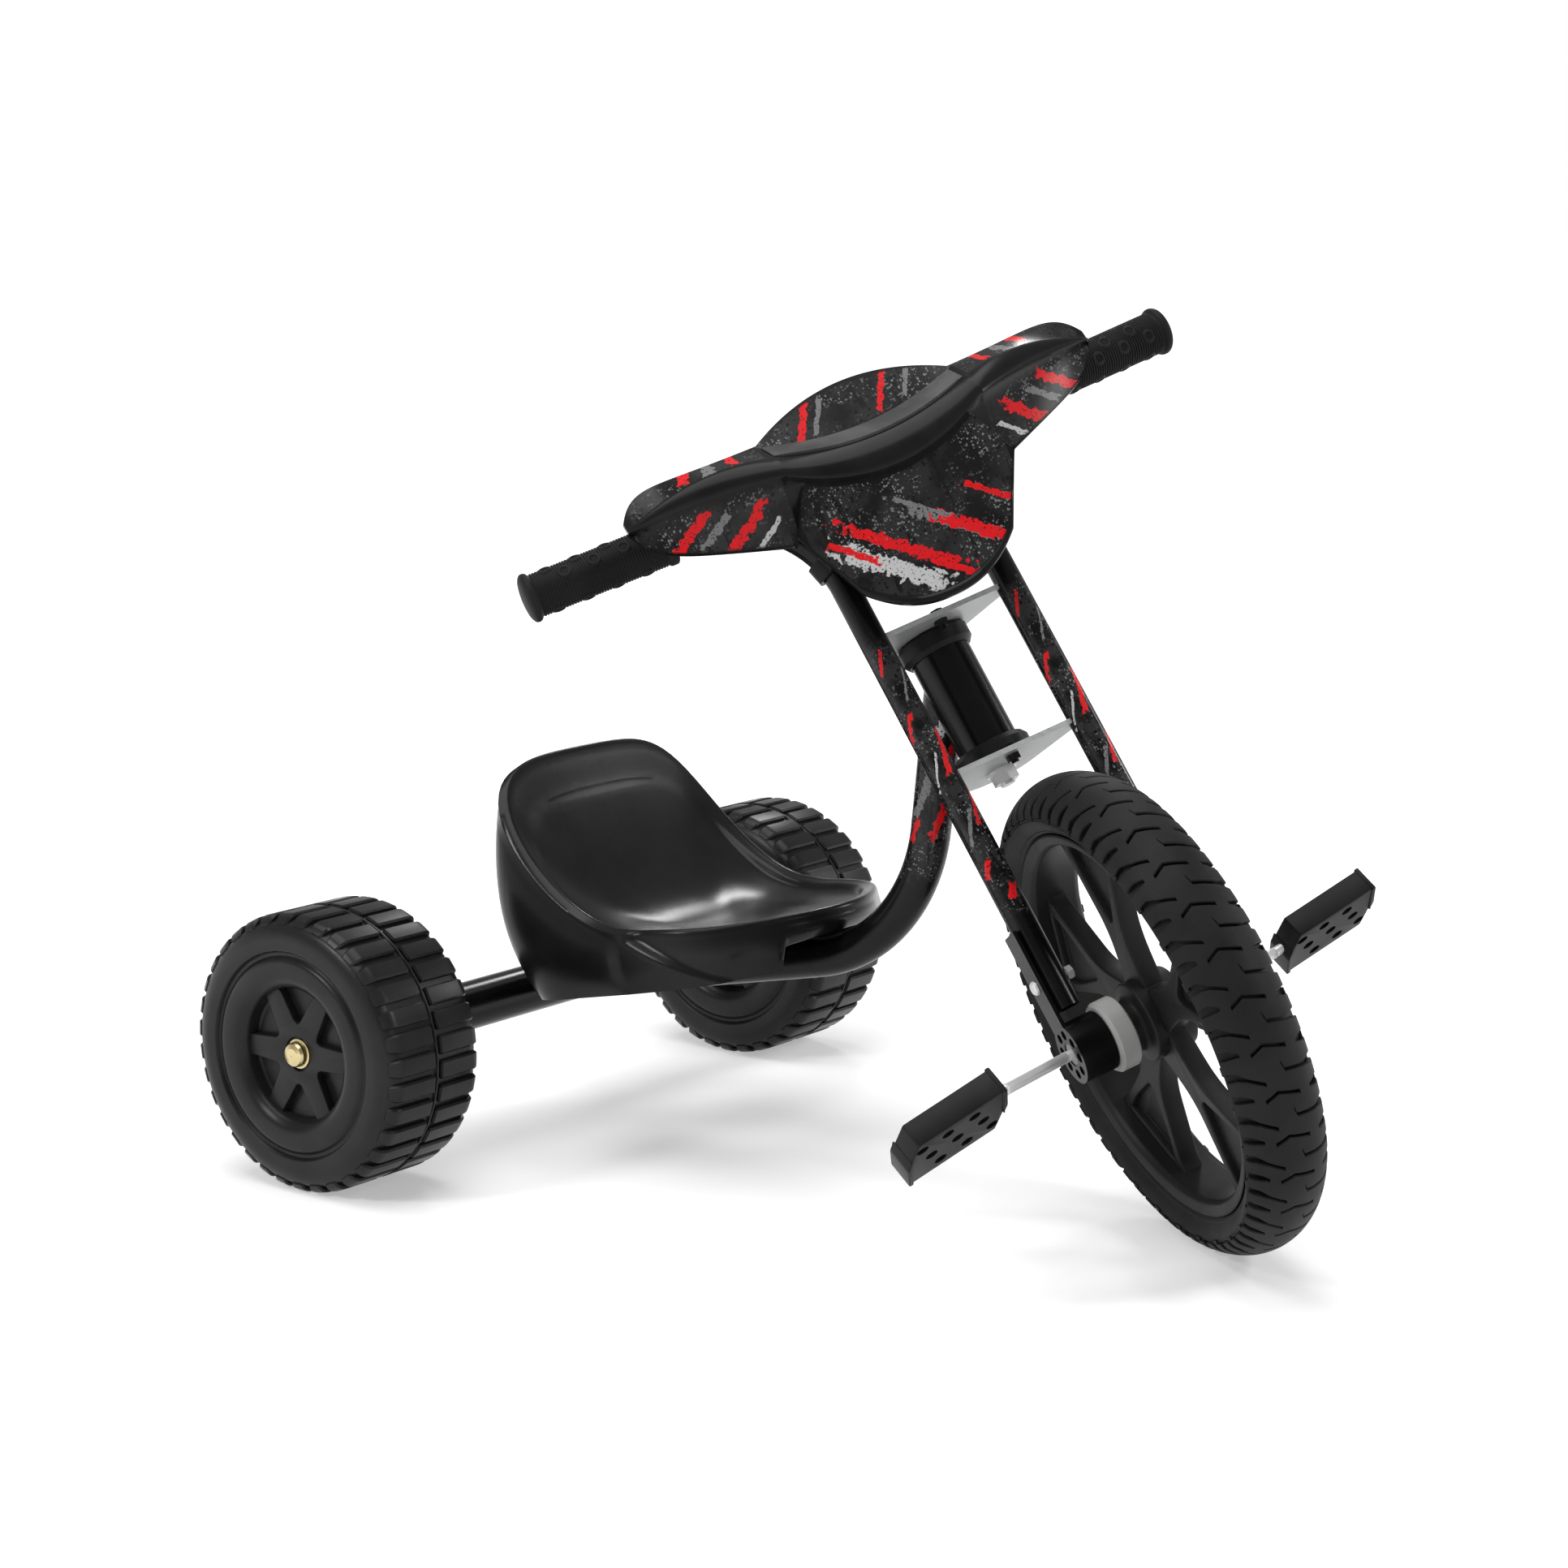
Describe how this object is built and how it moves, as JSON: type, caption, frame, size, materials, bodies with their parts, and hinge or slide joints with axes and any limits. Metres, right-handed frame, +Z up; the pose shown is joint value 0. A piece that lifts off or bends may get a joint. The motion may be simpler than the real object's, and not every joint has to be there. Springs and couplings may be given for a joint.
{
  "type": "low rider tricycle",
  "caption": "Low child's tricycle with a raked fork, a large spoked front wheel driven by pedals, high bars with a shield, a bucket seat and wide rear wheels.",
  "frame": {"origin": "on the floor under the middle of the rear axle", "axes": "+X forward, +Y to the rider's left, +Z up"},
  "size_m": [0.8892, 0.642, 0.6825],
  "materials": {
    "black_steel": "gloss",
    "steel": "satin",
    "zinc": "satin",
    "brass": "gloss",
    "black_plastic": "satin",
    "shield": "satin",
    "rubber": "matte",
    "tyre": "matte",
    "nylon": "satin"
  },
  "bodies": {
    "frame": {"main_tube": "black_steel", "head_tube": "black_steel", "cross_tube": "black_steel", "axle_rod": "steel", "axle_plugs": "black_plastic", "axle_washers": "steel", "axle_caps": "brass", "seat": "black_plastic", "seat_bracket_front": "black_steel", "seat_bracket_rear": "black_steel", "seat_bolts": "steel", "seat_nuts": "zinc", "head_cap_upper": "black_plastic", "head_cap_lower": "black_plastic"},
    "front_fork": {"fork_tube_right": "black_steel", "fork_tube_left": "black_steel", "bridge_plate_upper": "zinc", "bridge_plate_lower": "zinc", "steering_bolt": "steel", "steering_nut": "steel", "stop_bolt": "black_steel", "grip_right": "rubber", "grip_left": "rubber", "shield": "shield", "shield_pad": "rubber", "bar_clips": "black_plastic", "leg_clips": "black_plastic", "fork_bracket_right": "black_plastic", "fork_bracket_left": "black_plastic", "axle_bushes": "nylon", "bracket_bolts": "steel", "bracket_nuts": "zinc"},
    "front_wheel": {"tyre": "tyre", "inner_tube": "rubber", "rim": "black_plastic", "hub_ring_right": "nylon", "hub_ring_left": "nylon", "crank_axle": "steel"},
    "pedal_right": {"pedal_right": "black_plastic"},
    "pedal_left": {"pedal_left": "black_plastic"},
    "rear_wheel_right": {"rear_wheel_right": "black_plastic"},
    "rear_wheel_left": {"rear_wheel_left": "black_plastic"}
  },
  "joints": [
    {"name": "steering", "type": "hinge", "parent": "frame", "child": "front_fork", "pos_m": [0.4763, 0, 0.3], "axis": [-0.5686, 0, 0.8226], "range_deg": [-7.9, 82.1]},
    {"name": "front_wheel_spin", "type": "hinge", "parent": "front_fork", "child": "front_wheel", "pos_m": [0.60733, -0.03046, 0.18126], "axis": [0.4962, 0.7976, 0.343], "continuous": true},
    {"name": "pedal_right_spin", "type": "hinge", "parent": "front_wheel", "child": "pedal_right", "pos_m": [0.57906, -0.2545, 0.14165], "axis": [0.4374, 0.7795, 0.4484], "continuous": true},
    {"name": "pedal_left_spin", "type": "hinge", "parent": "front_wheel", "child": "pedal_left", "pos_m": [0.62767, 0.18081, 0.21537], "axis": [0.4374, 0.7795, 0.4484], "continuous": true},
    {"name": "rear_wheel_right_spin", "type": "hinge", "parent": "frame", "child": "rear_wheel_right", "pos_m": [0, -0.2685, 0.1115], "axis": [0, 1, 0], "continuous": true},
    {"name": "rear_wheel_left_spin", "type": "hinge", "parent": "frame", "child": "rear_wheel_left", "pos_m": [0, 0.2685, 0.1115], "axis": [0, 1, 0], "continuous": true}
  ]
}
